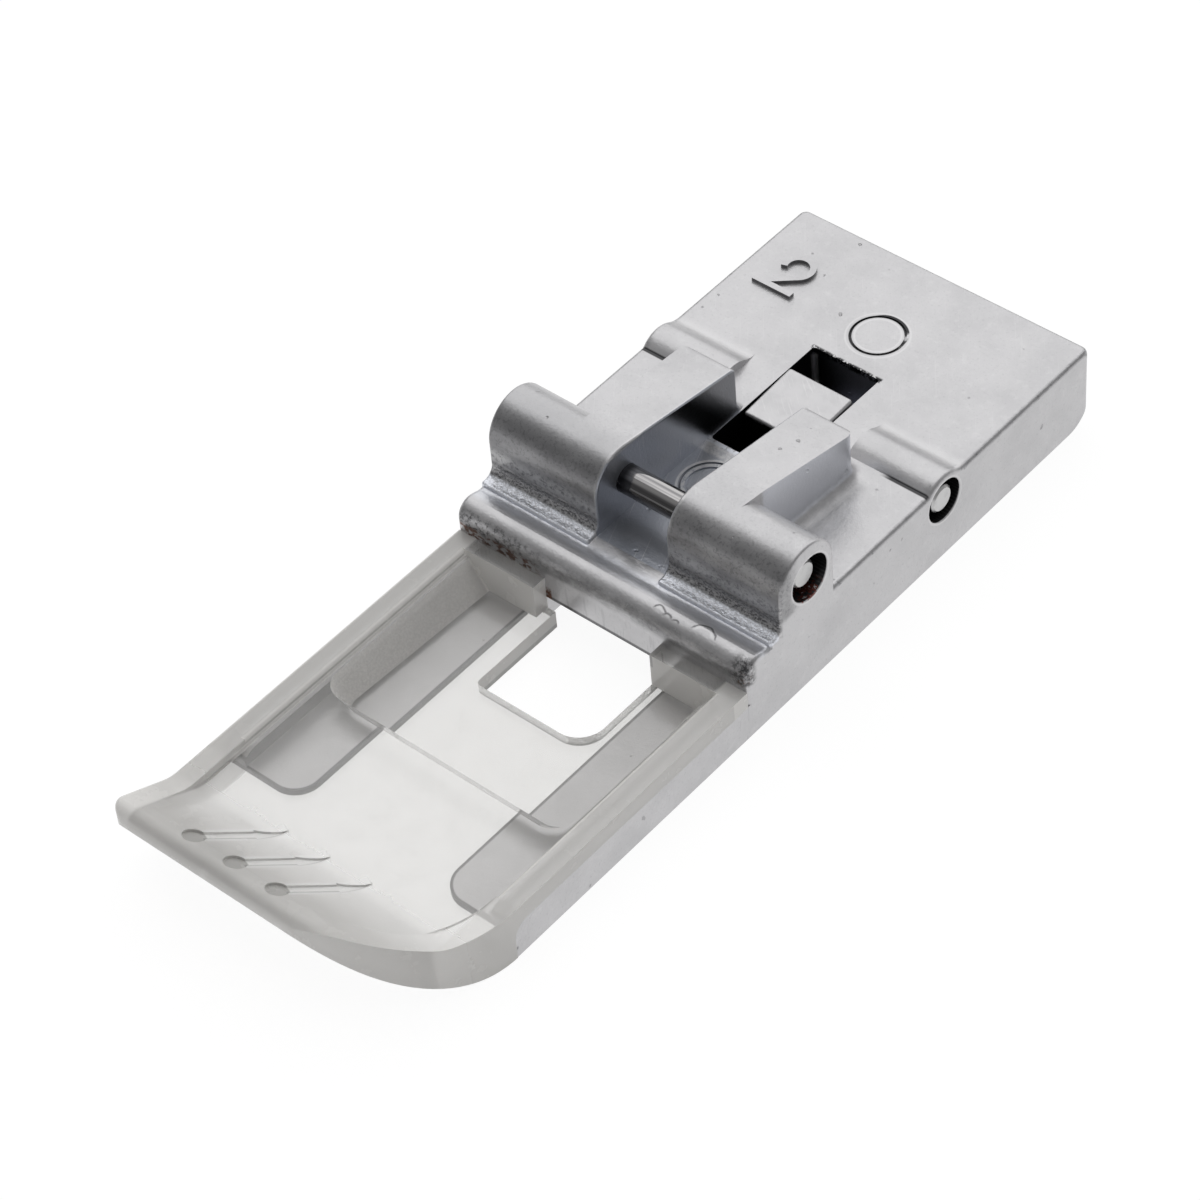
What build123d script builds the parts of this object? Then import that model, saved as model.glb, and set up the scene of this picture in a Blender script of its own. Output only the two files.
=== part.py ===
from build123d import *
from math import acos, atan2, cos, degrees, hypot, pi, radians, sin, sqrt, tan
import os

os.makedirs("parts", exist_ok=True)

# A clip-on presser foot for a sewing machine, with a clear toe.
# Millimetres. The origin lies on the sole, in the middle of the width,
# straight under the ankle pin. +Y runs to the rear, +Z up, the toe points to -Y.

# Casting: base plate
foot_width = 24.0
plate_top = 6.2
rear_reach = 29.5
front_reach = 6.55
rear_corner_radius = 0.6
heel_radius = 2.3
top_edge_radius = 0.4

# Casting: front lip, seen from the side
lip_top = 6.32
lip_radius = 1.2
groove_start = 3.3
groove_depth = 0.1

# Ankle pin, knuckles and ears
ankle_pin_radius = 1.0
ankle_pin_height = 8.9
ankle_pin_recess = 0.5
knuckle_radius = 2.65
knuckle_lead = 0.33
knuckle_lift = 0.22
knuckle_foot_height = 7.15
knuckle_foot_radius = 0.75
knuckle_edge_radius = 0.25
knuckle_root = 1.0
ledge_width = 0.35
ledge_radius = 0.15
ear_gap = 5.7
ear_front_width = 3.7
ear_rear_width = 4.15
ear_rear = 11.05
ear_rear_top = 10.05
ear_corner_radius = 0.55
ear_upright_radius = 0.9
ear_edge_radius = 0.2
ear_foot_radius = 0.9

# Pin holes
ankle_bore_radius = 1.7
lever_bore_radius = 1.6
bore_depth = 2.2
bore_edge_radius = 0.12
press_clearance = 0.01
pin_chamfer = 0.15

# Lever pin, bosses over it and the lever's slot
lever_pin_radius = 1.0
lever_pin_y = 13.65
lever_pin_height = 4.73
lever_pin_recess = 0.2
boss_radius = 2.15
boss_inner = 5.4
boss_blend_radius = 2.5
slot_width = 5.5
slot_front_inset = 5.55
slot_rear_inset = 5.2
slot_floor = 1.2
slot_corner_radius = 0.25

# Levelling lever, its stop and its spring
lever_side_gap = 0.12
lever_front_length = 2.4
lever_rear_length = 2.55
lever_front_top = 6.15
lever_rear_top = 6.47
lever_bottom = 2.9
lever_corner_radius = 0.25
lever_running_clearance = 0.05
stop_overlap = 1.1
stop_root = 0.35
spring_lead = 1.65
spring_radius = 0.7
spring_wire_radius = 0.13
spring_turns = 4

# Marks left by the casting tool, and the raised numeral
mark_width = 0.16
mark_depth = 0.12
top_mark_inset = 7.3
top_mark_radius = 1.92
gap_mark_y = 4.7
gap_mark_radius = 2.1
gap_mark_inner_radius = 1.65
numeral_x = -8.25
numeral_inset = 7.75
numeral_width = 2.6
numeral_rise = 3.42
numeral_bowl_radius = 1.02
numeral_bowl_start = 200
numeral_bowl_end = -48
numeral_stroke = 0.46
numeral_height = 0.26

# Fork prongs that carry the toe
prong_setback = 9.6
prong_height = 2.8
prong_wall = 1.8
prong_inner = 5.75
prong_root = 0.35
flange_thickness = 0.8
prong_nose_radius = 1.2
flange_corner_radius = 1.9
thread_relief_height = 2.4
thread_relief_length = 2.2
thread_relief_width = 10.0

# Clear toe
toe_reach = 38.2
rim_top = 4.1
tray_inset = 1.6
tray_floor = 3.5
tray_foot_radius = 0.3
rim_edge_radius = 0.3
pocket_floor = 1.35
pocket_setback = 16.4
pocket_draft = 0.4
pocket_rear_inset = 3.4
pocket_front_inset = 2.85
pocket_corner_radius = 1.6
rear_wall = 1.1
toe_left_corner_radius = 1.2
toe_right_corner_radius = 10.0
ski_length = 8.7
ski_radius = 10.2
ramp_length = 5.05
ramp_angle = 25.0
tray_bend_lead = 0.9
tray_angle = 26.8
bend_radius = 3.0
tip_top_radius = 0.75
tip_bottom_radius = 0.35
window_left = -3.95
window_right = 5.1
window_length = 7.75
window_left_corner_radius = 0.4
window_right_corner_radius = 2.0
left_wall_end = -4.6

# Needle marks engraved on the toe's front
needle_pitch = 3.45
needle_setback = 6.6
needle_length = 5.7
needle_head_length = 2.1
needle_slant = 30.0
needle_width = 1.05
needle_shank_width = 0.8
needle_eye_radius = 0.75
needle_depth = 0.2

# Worked out from the sizes above
half_width = foot_width / 2
ear_inner = ear_gap / 2
slot_half = slot_width / 2
lever_half = slot_half - lever_side_gap
ankle_hole_radius = ankle_pin_radius + press_clearance
lever_hole_radius = lever_pin_radius + press_clearance
prong_wall_inner = half_width - prong_wall
knuckle_height = ankle_pin_height + knuckle_lift
knuckle_front = -knuckle_lead - knuckle_radius
knuckle_rear = -knuckle_lead + knuckle_radius
clear_above = knuckle_height + 2 * knuckle_radius
buried = plate_top - knuckle_root
slot_front = lever_pin_y - slot_front_inset
slot_rear = lever_pin_y + slot_rear_inset
lever_front = lever_pin_y - lever_front_length
lever_rear = lever_pin_y + lever_rear_length
spring_y = lever_pin_y - spring_lead
prong_reach = toe_reach - prong_setback
pocket_reach = toe_reach - pocket_setback
ski_start = toe_reach - ski_length
ramp_bend = toe_reach - ramp_length
tray_bend = ramp_bend - tray_bend_lead
window_reach = front_reach + window_length
needle_reach = toe_reach - needle_setback
tiny = 0.01


# Foot body: one casting, its right half built and then mirrored

with BuildPart() as knuckle:
    # A cross cylinder with upright flanks; its front foot runs out in a small ledge.
    with BuildSketch(Plane.YZ.offset(ear_inner)):
        with BuildLine():
            rise = Line((knuckle_rear, buried), (knuckle_rear, knuckle_height))
            crown = ThreePointArc(
                rise @ 1,
                (-knuckle_lead, knuckle_height + knuckle_radius),
                (knuckle_front, knuckle_height),
            )
            Line(crown @ 1, (knuckle_front, knuckle_foot_height))
            foot_end = (
                knuckle_front - knuckle_foot_radius,
                knuckle_foot_height - knuckle_foot_radius,
            )
            CenterArc(
                (foot_end[0], knuckle_foot_height),
                knuckle_foot_radius,
                -90,
                90,
            )
            ledge_start = (foot_end[0] - ledge_width + ledge_radius, foot_end[1])
            Line(foot_end, ledge_start)
            CenterArc(
                (ledge_start[0], ledge_start[1] - ledge_radius),
                ledge_radius,
                90,
                90,
            )
            ledge_end = (ledge_start[0] - ledge_radius, ledge_start[1] - ledge_radius)
            Polyline(ledge_end, (ledge_end[0], buried), rise @ 0)
        make_face()
    extrude(amount=half_width - ear_inner)
    outer_face = knuckle.faces().sort_by(Axis.X)[-1]
    fillet(
        outer_face.edges().filter_by_position(Axis.Z, knuckle_foot_height, clear_above),
        knuckle_edge_radius,
    )

# The ear's top slopes down to the rear from a line that grazes the knuckle.
ear_length = ear_rear + knuckle_lead
ear_rise = ear_rear_top - knuckle_height
ear_distance = hypot(ear_length, ear_rise)
graze_angle = atan2(ear_rise, ear_length) + acos(knuckle_radius / ear_distance)
graze_y = knuckle_radius * cos(graze_angle) - knuckle_lead
graze_z = knuckle_height + knuckle_radius * sin(graze_angle)
brow_angle = (graze_angle + pi) / 2

with BuildPart() as ear:
    with BuildSketch(Plane.YZ.offset(ear_inner)) as ear_side:
        with BuildLine():
            slope = Line((ear_rear, ear_rear_top), (graze_y, graze_z))
            brow = ThreePointArc(
                slope @ 1,
                (
                    knuckle_radius * cos(brow_angle) - knuckle_lead,
                    knuckle_height + knuckle_radius * sin(brow_angle),
                ),
                (knuckle_front, knuckle_height),
            )
            Polyline(
                brow @ 1,
                (knuckle_front, buried),
                (ear_rear, buried),
                slope @ 0,
            )
        make_face()
        rear_corner = ear_side.vertices().group_by(Axis.X)[-1].sort_by(Axis.Y)[-1]
        fillet(rear_corner, ear_corner_radius)
    extrude(amount=ear_rear_width)
    # In the plan view it widens to the rear and has a wide outer corner.
    with BuildSketch(Plane.XY) as ear_plan:
        with BuildLine():
            Polyline(
                (ear_inner, knuckle_front),
                (ear_inner + ear_front_width, knuckle_front),
                (ear_inner + ear_front_width, knuckle_rear),
                (ear_inner + ear_rear_width, ear_rear),
                (ear_inner, ear_rear),
                close=True,
            )
        make_face()
        fillet(ear_plan.vertices().sort_by(Axis.X)[-1], ear_upright_radius)
    extrude(amount=clear_above, mode=Mode.INTERSECT)

with BuildPart() as prong:
    # A low flange with an outer wall, running forward under the toe.
    with BuildSketch(Plane.XZ.offset(front_reach - prong_root)):
        with BuildLine():
            Polyline(
                (prong_inner, 0),
                (half_width, 0),
                (half_width, prong_height),
                (prong_wall_inner, prong_height),
                (prong_wall_inner, flange_thickness),
                (prong_inner, flange_thickness),
                close=True,
            )
        make_face()
    extrude(amount=prong_reach - front_reach + prong_root)
    nose = prong.faces().sort_by(Axis.Y)[0].edges()
    fillet(nose.filter_by(Axis.Z).sort_by(Axis.X)[0], flange_corner_radius)
    nose = prong.faces().sort_by(Axis.Y)[0].edges()
    fillet(nose.filter_by(Axis.X).sort_by(Axis.Z)[-1], prong_nose_radius)

# A bead covers the end of the lever pin. It is a round boss that stands out of the plate
# and runs out to the rear in a wide hollow curve.
boss_rise = plate_top - lever_pin_height
boss_front = lever_pin_y - sqrt(boss_radius**2 - boss_rise**2)
boss_reach = boss_radius + boss_blend_radius
boss_blend_height = plate_top + boss_blend_radius
boss_rear = lever_pin_y + sqrt(boss_reach**2 - (boss_rise + boss_blend_radius) ** 2)
boss_blend_angle = atan2(lever_pin_height - boss_blend_height, lever_pin_y - boss_rear)
boss_blend_start = (
    boss_rear + boss_blend_radius * cos(boss_blend_angle),
    boss_blend_height + boss_blend_radius * sin(boss_blend_angle),
)

with BuildPart() as foot_body:
    # The plate's side view carries the heel radius, the bead, the groove and the front lip.
    with BuildSketch(Plane.YZ):
        with BuildLine():
            sole = Line((-front_reach, 0), (rear_reach - heel_radius, 0))
            heel = CenterArc((rear_reach - heel_radius, heel_radius), heel_radius, -90, 90)
            back = Line(heel @ 1, (rear_reach, plate_top))
            Line(back @ 1, (boss_rear, plate_top))
            CenterArc(
                (boss_rear, boss_blend_height),
                boss_blend_radius,
                degrees(boss_blend_angle),
                -90 - degrees(boss_blend_angle),
            )
            bead = ThreePointArc(
                boss_blend_start,
                (lever_pin_y, lever_pin_height + boss_radius),
                (boss_front, plate_top),
            )
            top = Line(bead @ 1, (-groove_start, plate_top))
            lip_start = (-front_reach + lip_radius, lip_top)
            groove_middle = ((top @ 1).X / 2 + lip_start[0] / 2, plate_top - groove_depth)
            Spline(top @ 1, groove_middle, lip_start, tangents=((-1, 0), (-1, 0)))
            CenterArc((lip_start[0], lip_top - lip_radius), lip_radius, 90, 90)
            Line((-front_reach, lip_top - lip_radius), sole @ 0)
        make_face()
    extrude(amount=half_width)

    # The bead stops short of the lever's slot.
    with BuildSketch(Plane.XY.offset(plate_top)):
        with Locations((0, boss_front)):
            Rectangle(boss_inner, boss_rear - boss_front, align=(Align.MIN, Align.MIN))
    extrude(amount=boss_radius, mode=Mode.SUBTRACT)

    # The plan view rounds the rear corner.
    with BuildSketch(Plane.XY) as plan:
        with Locations((0, -front_reach)):
            Rectangle(half_width, front_reach + rear_reach, align=(Align.MIN, Align.MIN))
        fillet(plan.vertices().sort_by(Axis.Y)[-2:].sort_by(Axis.X)[-1], rear_corner_radius)
    extrude(amount=clear_above, mode=Mode.INTERSECT)
    side_edges = foot_body.edges().filter_by_position(Axis.X, half_width - tiny, half_width + tiny)
    top_edges = side_edges.filter_by_position(Axis.Z, plate_top - lip_radius / 2, clear_above)
    fillet(top_edges, top_edge_radius)

    add(knuckle.part)
    add(ear.part)
    add(prong.part)

    # A soft foot runs round the outside of the ear where it meets the plate.
    plate_edges = foot_body.edges().filter_by_position(Axis.Z, plate_top - tiny, plate_top + tiny)
    ear_foot = plate_edges.filter_by_position(Axis.Y, knuckle_rear, ear_rear + tiny)
    ear_foot = ear_foot.filter_by_position(Axis.X, ear_inner + tiny, ear_inner + ear_rear_width + tiny)
    fillet(ear_foot, ear_foot_radius)

    # The ear's inner top edge and the knuckle's inner end are broken in one run.
    ear_rim = foot_body.edges().filter_by_position(Axis.Z, ear_rear_top - ear_corner_radius, clear_above)
    ear_rim = ear_rim.filter_by_position(Axis.X, ear_inner - tiny, ear_inner + tiny)
    fillet(ear_rim, ear_edge_radius)

    # The slot is blind; a step at its rear stops the lever.
    with BuildSketch(Plane.XY.offset(slot_floor)) as slot_plan:
        with Locations((0, slot_front)):
            Rectangle(slot_half, slot_rear - slot_front, align=(Align.MIN, Align.MIN))
        fillet(slot_plan.vertices().group_by(Axis.X)[-1], slot_corner_radius)
    extrude(amount=clear_above, mode=Mode.SUBTRACT)
    with BuildSketch(Plane.XY.offset(slot_floor)):
        with Locations((0, lever_rear - stop_overlap)):
            Rectangle(
                slot_half + stop_root,
                slot_rear - lever_rear + stop_overlap + stop_root,
                align=(Align.MIN, Align.MIN),
            )
    extrude(amount=lever_bottom - slot_floor)

    # Each pin hole opens in a wider bore at the side.
    with Locations(Plane.YZ.offset(half_width)):
        with Locations((0, ankle_pin_height)):
            CounterBoreHole(ankle_hole_radius, ankle_bore_radius, bore_depth, depth=foot_width)
        with Locations((lever_pin_y, lever_pin_height)):
            CounterBoreHole(lever_hole_radius, lever_bore_radius, bore_depth, depth=foot_width)
    bore_mouths = foot_body.edges().filter_by(GeomType.CIRCLE).filter_by_position(
        Axis.X, half_width - tiny, half_width + tiny
    )
    bore_mouths = bore_mouths.filter_by(lambda edge: edge.radius in (ankle_bore_radius, lever_bore_radius))
    fillet(bore_mouths, bore_edge_radius)

    mirror(about=Plane.YZ)

    # Under the front face a slope leaves room for the thread between the prongs.
    with BuildSketch(Plane.YZ):
        with BuildLine():
            Polyline(
                (-front_reach, 0),
                (-front_reach, thread_relief_height),
                (-front_reach + thread_relief_length, 0),
                close=True,
            )
        make_face()
    extrude(amount=thread_relief_width / 2, both=True, mode=Mode.SUBTRACT)

    # Round marks are left where the casting tool's pins pushed.
    with BuildSketch(Plane.XY.offset(plate_top)):
        with Locations((0, rear_reach - top_mark_inset)):
            Circle(top_mark_radius)
            Circle(top_mark_radius - mark_width, mode=Mode.SUBTRACT)
        with Locations((0, gap_mark_y)):
            Circle(gap_mark_radius)
            Circle(gap_mark_radius - mark_width, mode=Mode.SUBTRACT)
            Circle(gap_mark_inner_radius)
            Circle(gap_mark_inner_radius - mark_width, mode=Mode.SUBTRACT)
    extrude(amount=-mark_depth, mode=Mode.SUBTRACT)

    # The raised numeral is one stroke: a bowl, a diagonal and a bar.
    numeral_y = rear_reach - numeral_inset
    with BuildSketch(Plane.XY.offset(plate_top)):
        with BuildLine():
            bowl = CenterArc(
                (numeral_x, numeral_y + numeral_rise - numeral_bowl_radius),
                numeral_bowl_radius,
                numeral_bowl_start,
                numeral_bowl_end - numeral_bowl_start,
            )
            diagonal = Line(bowl @ 1, (numeral_x - numeral_width / 2, numeral_y))
            Line(diagonal @ 1, (numeral_x + numeral_width / 2, numeral_y))
        trace(line_width=numeral_stroke)
    extrude(amount=numeral_height)

foot_body.part.label = "foot_body"
export_step(foot_body.part, "parts/foot_body.step")


# Ankle pin and lever pin: plain pressed pins

with BuildPart() as ankle_pin:
    with Locations(Plane.YZ.offset(-half_width + ankle_pin_recess)):
        with Locations((0, ankle_pin_height)):
            Cylinder(
                ankle_pin_radius,
                foot_width - 2 * ankle_pin_recess,
                align=(Align.CENTER, Align.CENTER, Align.MIN),
            )
    chamfer(ankle_pin.edges().filter_by(GeomType.CIRCLE), pin_chamfer)
ankle_pin.part.label = "ankle_pin"
export_step(ankle_pin.part, "parts/ankle_pin.step")

with BuildPart() as lever_pin:
    with Locations(Plane.YZ.offset(-half_width + lever_pin_recess)):
        with Locations((lever_pin_y, lever_pin_height)):
            Cylinder(
                lever_pin_radius,
                foot_width - 2 * lever_pin_recess,
                align=(Align.CENTER, Align.CENTER, Align.MIN),
            )
    chamfer(lever_pin.edges().filter_by(GeomType.CIRCLE), pin_chamfer)
lever_pin.part.label = "lever_pin"
export_step(lever_pin.part, "parts/lever_pin.step")


# Levelling lever: a block on the lever pin

with BuildPart() as levelling_lever:
    with BuildSketch(Plane.YZ) as lever_side:
        with BuildLine():
            Polyline(
                (lever_front, lever_bottom),
                (lever_rear, lever_bottom),
                (lever_rear, lever_rear_top),
                (lever_front, lever_front_top),
                close=True,
            )
        make_face()
        fillet(lever_side.vertices().sort_by(Axis.Y)[2:], lever_corner_radius)
        with Locations((lever_pin_y, lever_pin_height)):
            Circle(lever_pin_radius + lever_running_clearance, mode=Mode.SUBTRACT)
    extrude(amount=lever_half, both=True)
    fillet(levelling_lever.edges().filter_by(Axis.Z), lever_corner_radius)
levelling_lever.part.label = "levelling_lever"
export_step(levelling_lever.part, "parts/levelling_lever.step")


# Lever spring: a small coil between the slot's floor and the lever's front

with BuildPart() as lever_spring:
    spring_height = lever_bottom - slot_floor - 2 * spring_wire_radius
    with BuildLine():
        coil = Helix(
            pitch=spring_height / spring_turns,
            height=spring_height,
            radius=spring_radius,
            center=(0, spring_y, slot_floor + spring_wire_radius),
        )
    with BuildSketch(Plane(origin=coil @ 0, z_dir=coil % 0)):
        Circle(spring_wire_radius)
    sweep()
lever_spring.part.label = "lever_spring"
export_step(lever_spring.part, "parts/lever_spring.step")


# Clear toe: one moulding over the fork

ramp_rise = tan(radians(ramp_angle))
tray_rise = tan(radians(tray_angle))
tray_rear = -front_reach - rear_wall
beyond_toe = toe_reach + bend_radius

with BuildPart() as tray_cutter:
    # The tray keeps an even rim; its floor turns up at the front.
    with BuildSketch(Plane.XY) as tray_plan:
        Rectangle(foot_width, toe_reach, align=(Align.CENTER, Align.MAX))
        fillet(tray_plan.vertices().sort_by(Axis.X)[:2].sort_by(Axis.Y)[0], toe_left_corner_radius)
        fillet(tray_plan.vertices().sort_by(Axis.X)[-2:].sort_by(Axis.Y)[0], toe_right_corner_radius)
        offset(amount=-tray_inset, mode=Mode.REPLACE)
    extrude(amount=clear_above)
    with BuildSketch(Plane.YZ) as tray_side:
        with BuildLine():
            Polyline(
                (tray_rear, tray_floor),
                (-tray_bend, tray_floor),
                (-beyond_toe, tray_floor + (beyond_toe - tray_bend) * tray_rise),
                (-beyond_toe, clear_above),
                (tray_rear, clear_above),
                close=True,
            )
        make_face()
        fillet(tray_side.vertices().sort_by(Axis.Y)[:2].sort_by(Axis.X)[0], bend_radius)
    extrude(amount=half_width, both=True, mode=Mode.INTERSECT)
    tray_side_edges = tray_cutter.edges().filter_by(Axis.Y).group_by(Axis.Z)[0]
    fillet(tray_side_edges, tray_foot_radius)

with BuildPart() as clear_toe:
    # The side view carries the ski underneath and the ramp on top.
    with BuildSketch(Plane.YZ) as toe_side:
        with BuildLine():
            ski_rise = ski_radius - sqrt(ski_radius**2 - (toe_reach - ski_start) ** 2)
            toe_sole = Line((-front_reach, 0), (-ski_start, 0))
            ski = RadiusArc(toe_sole @ 1, (-toe_reach, ski_rise), ski_radius)
            Polyline(
                ski @ 1,
                (-toe_reach, rim_top + (toe_reach - ramp_bend) * ramp_rise),
                (-ramp_bend, rim_top),
                (-front_reach, rim_top),
                toe_sole @ 0,
            )
        make_face()
        bend = toe_side.vertices().filter_by_position(Axis.X, -ramp_bend - tiny, -ramp_bend + tiny)
        fillet(bend, bend_radius)
        fillet(toe_side.vertices().sort_by(Axis.X)[:2].sort_by(Axis.Y)[0], tip_bottom_radius)
        fillet(toe_side.vertices().sort_by(Axis.Y)[-1], tip_top_radius)
    extrude(amount=half_width, both=True)

    # The plan view has one small front corner and one wide one.
    with BuildSketch(Plane.XY) as toe_plan:
        with Locations((0, -front_reach)):
            Rectangle(foot_width, toe_reach - front_reach, align=(Align.CENTER, Align.MAX))
        fillet(toe_plan.vertices().sort_by(Axis.X)[:2].sort_by(Axis.Y)[0], toe_left_corner_radius)
        fillet(toe_plan.vertices().sort_by(Axis.X)[-2:].sort_by(Axis.Y)[0], toe_right_corner_radius)
    extrude(amount=clear_above, mode=Mode.INTERSECT)

    # The rear pocket narrows downwards between the fork's walls.
    pocket_top_inset = tray_inset + tray_foot_radius
    with BuildSketch(Plane.XY.offset(tray_floor)) as pocket_mouth:
        with BuildLine():
            Polyline(
                (-half_width + pocket_top_inset, tray_rear),
                (half_width - pocket_top_inset, tray_rear),
                (half_width - pocket_top_inset, -pocket_reach),
                (-half_width + pocket_top_inset, -pocket_reach),
                close=True,
            )
        make_face()
        fillet(pocket_mouth.vertices().group_by(Axis.Y)[0], pocket_corner_radius)
    with BuildSketch(Plane.XY.offset(pocket_floor)) as pocket_bottom:
        with BuildLine():
            Polyline(
                (-half_width + pocket_rear_inset, tray_rear),
                (half_width - pocket_rear_inset, tray_rear),
                (half_width - pocket_front_inset, -pocket_reach + pocket_draft),
                (-half_width + pocket_front_inset, -pocket_reach + pocket_draft),
                close=True,
            )
        make_face()
        fillet(pocket_bottom.vertices().group_by(Axis.Y)[0], pocket_corner_radius)
    loft(mode=Mode.SUBTRACT)

    add(tray_cutter.part, mode=Mode.SUBTRACT)

    # The needle window cuts through; the left part of the rear wall stops short of it.
    with BuildSketch(Plane.XY) as window:
        with BuildLine():
            Polyline(
                (window_left, -front_reach),
                (window_right, -front_reach),
                (window_right, -window_reach),
                (window_left, -window_reach),
                close=True,
            )
        make_face()
        fillet(window.vertices().sort_by(Axis.X)[:2].sort_by(Axis.Y)[0], window_left_corner_radius)
        fillet(window.vertices().sort_by(Axis.X)[-2:].sort_by(Axis.Y)[0], window_right_corner_radius)
    extrude(amount=clear_above, mode=Mode.SUBTRACT)
    with BuildSketch(Plane.XY.offset(pocket_floor)):
        with Locations((left_wall_end, -front_reach)):
            Rectangle(window_left - left_wall_end, rear_wall, align=(Align.MIN, Align.MAX))
    extrude(amount=clear_above, mode=Mode.SUBTRACT)

    # The rims' upper edges are soft on the left outside and along the straight inner runs.
    rim_edges = clear_toe.edges().filter_by(Axis.Y)
    rim_edges = rim_edges.filter_by_position(Axis.Z, rim_top - tiny, rim_top + tiny)
    fillet(rim_edges.sort_by(Axis.X)[0], rim_edge_radius)
    rim_inner = half_width - tray_inset
    with BuildSketch(Plane.XZ.offset(-tray_rear)):
        for side in (-1, 1):
            with Locations((side * (rim_inner + rim_edge_radius / 2), rim_top - rim_edge_radius / 2)):
                Rectangle(rim_edge_radius, rim_edge_radius)
        with Locations(
            (-rim_inner - rim_edge_radius, rim_top - rim_edge_radius),
            (rim_inner + rim_edge_radius, rim_top - rim_edge_radius),
        ):
            Circle(rim_edge_radius, mode=Mode.SUBTRACT)
    extrude(amount=toe_reach - toe_right_corner_radius + tray_rear, mode=Mode.SUBTRACT)

    # The moulding closes round the fork with no gap.
    add(foot_body.part, mode=Mode.SUBTRACT)

with BuildPart() as needle_marks:
    # Each mark is an arrow head, a shank and an eye, leaning in the plan view.
    with BuildSketch(Plane.XY):
        for mark in (-1, 0, 1):
            with Locations(Location((mark * needle_pitch, -needle_reach, 0), (0, 0, -needle_slant))):
                with BuildLine(Plane.XY, mode=Mode.PRIVATE) as mark_outline:
                    Polyline(
                        (0, 0),
                        (needle_width / 2, -needle_head_length),
                        (needle_shank_width / 2, -needle_head_length),
                        (needle_shank_width / 2, -needle_length),
                        (-needle_shank_width / 2, -needle_length),
                        (-needle_shank_width / 2, -needle_head_length),
                        (-needle_width / 2, -needle_head_length),
                        close=True,
                    )
                add(make_face(mark_outline.edges(), mode=Mode.PRIVATE))
            with Locations(Location((mark * needle_pitch, -needle_reach, 0), (0, 0, -needle_slant))):
                with Locations((0, -needle_length)):
                    Circle(needle_eye_radius)
    extrude(amount=clear_above)
    # They reach one even depth below the tray's floor.
    with BuildSketch(Plane.YZ) as mark_side:
        with BuildLine():
            Polyline(
                (tray_rear, tray_floor - needle_depth),
                (-tray_bend, tray_floor - needle_depth),
                (-beyond_toe, tray_floor - needle_depth + (beyond_toe - tray_bend) * tray_rise),
                (-beyond_toe, clear_above),
                (tray_rear, clear_above),
                close=True,
            )
        make_face()
        fillet(mark_side.vertices().sort_by(Axis.Y)[:2].sort_by(Axis.X)[0], bend_radius)
    extrude(amount=half_width, both=True, mode=Mode.INTERSECT)

with BuildPart() as finished_toe:
    add(clear_toe.part)
    add(needle_marks.part, mode=Mode.SUBTRACT)
finished_toe.part.label = "clear_toe"
export_step(finished_toe.part, "parts/clear_toe.step")
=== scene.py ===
# %% [markdown]
# # A clip-on presser foot
# This lesson dresses a small machine part: a plated zinc casting with a steel cross pin, a sprung
# lever in a slot and a clear plastic toe. The shapes come from a CAD model, so the work here is
# the camera, the light and the materials.

# %% [markdown]
# ## Load the CAD pieces
# The CAD model arrives as one mesh for each real piece. Each mesh keeps its place in its own
# vertices, so nothing has to be moved.

# %% Load the pieces
import math

import bmesh
import bpy
from mathutils import Matrix, Vector


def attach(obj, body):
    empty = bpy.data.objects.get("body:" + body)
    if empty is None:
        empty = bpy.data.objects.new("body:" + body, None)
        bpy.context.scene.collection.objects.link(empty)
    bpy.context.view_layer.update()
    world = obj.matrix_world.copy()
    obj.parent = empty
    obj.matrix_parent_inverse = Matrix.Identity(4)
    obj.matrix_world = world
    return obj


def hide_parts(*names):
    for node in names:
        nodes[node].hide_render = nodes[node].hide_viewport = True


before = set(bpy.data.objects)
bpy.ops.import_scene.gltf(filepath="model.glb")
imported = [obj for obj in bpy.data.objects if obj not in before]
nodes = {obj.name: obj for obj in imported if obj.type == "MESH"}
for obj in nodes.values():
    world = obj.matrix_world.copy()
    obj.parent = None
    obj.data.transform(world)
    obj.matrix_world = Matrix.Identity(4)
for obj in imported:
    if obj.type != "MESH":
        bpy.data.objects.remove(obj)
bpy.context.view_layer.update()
mm = 0.001
print("pieces:", sorted(nodes))

# %% [markdown]
# ## The camera
# The picture was taken from above the right front corner with a long lens, so parallel edges
# hardly converge. A camera could be aimed at a point by a constraint, but a photograph fixes all
# three of its directions, so they are given here, with its place and its lens.

# %% Place the camera
bpy.context.scene.view_settings.view_transform = "Standard"
view_right = Vector((0.7598, 0.6468, -0.0670))
view_up = Vector((-0.4319, 0.5789, 0.6916))
view_back = Vector((0.4861, -0.4965, 0.7191))
sensor_width = 36.0
camera_place = Vector((126.52, -135.61, 191.98))
focal_pixels = 4131.0
image_pixels = 1200.0

camera_data = bpy.data.cameras.new("camera")
camera_data.sensor_width = sensor_width
camera_data.lens = focal_pixels / image_pixels * sensor_width
camera_data.clip_start = 0.01
camera_data.clip_end = 10.0
camera = bpy.data.objects.new("camera", camera_data)
bpy.context.scene.collection.objects.link(camera)
turn = Matrix((view_right, view_up, view_back)).transposed().to_4x4()
camera.matrix_world = Matrix.Translation(camera_place * mm) @ turn
bpy.context.scene.camera = camera
print("lens in mm:", round(camera_data.lens, 1))

# %% [markdown]
# ## Shader maths as Python
# A material is a tree of nodes. Written out link by link it is hard to read, so one small class
# wraps a socket: arithmetic on it adds Math nodes, and one method adds any other node.


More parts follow.
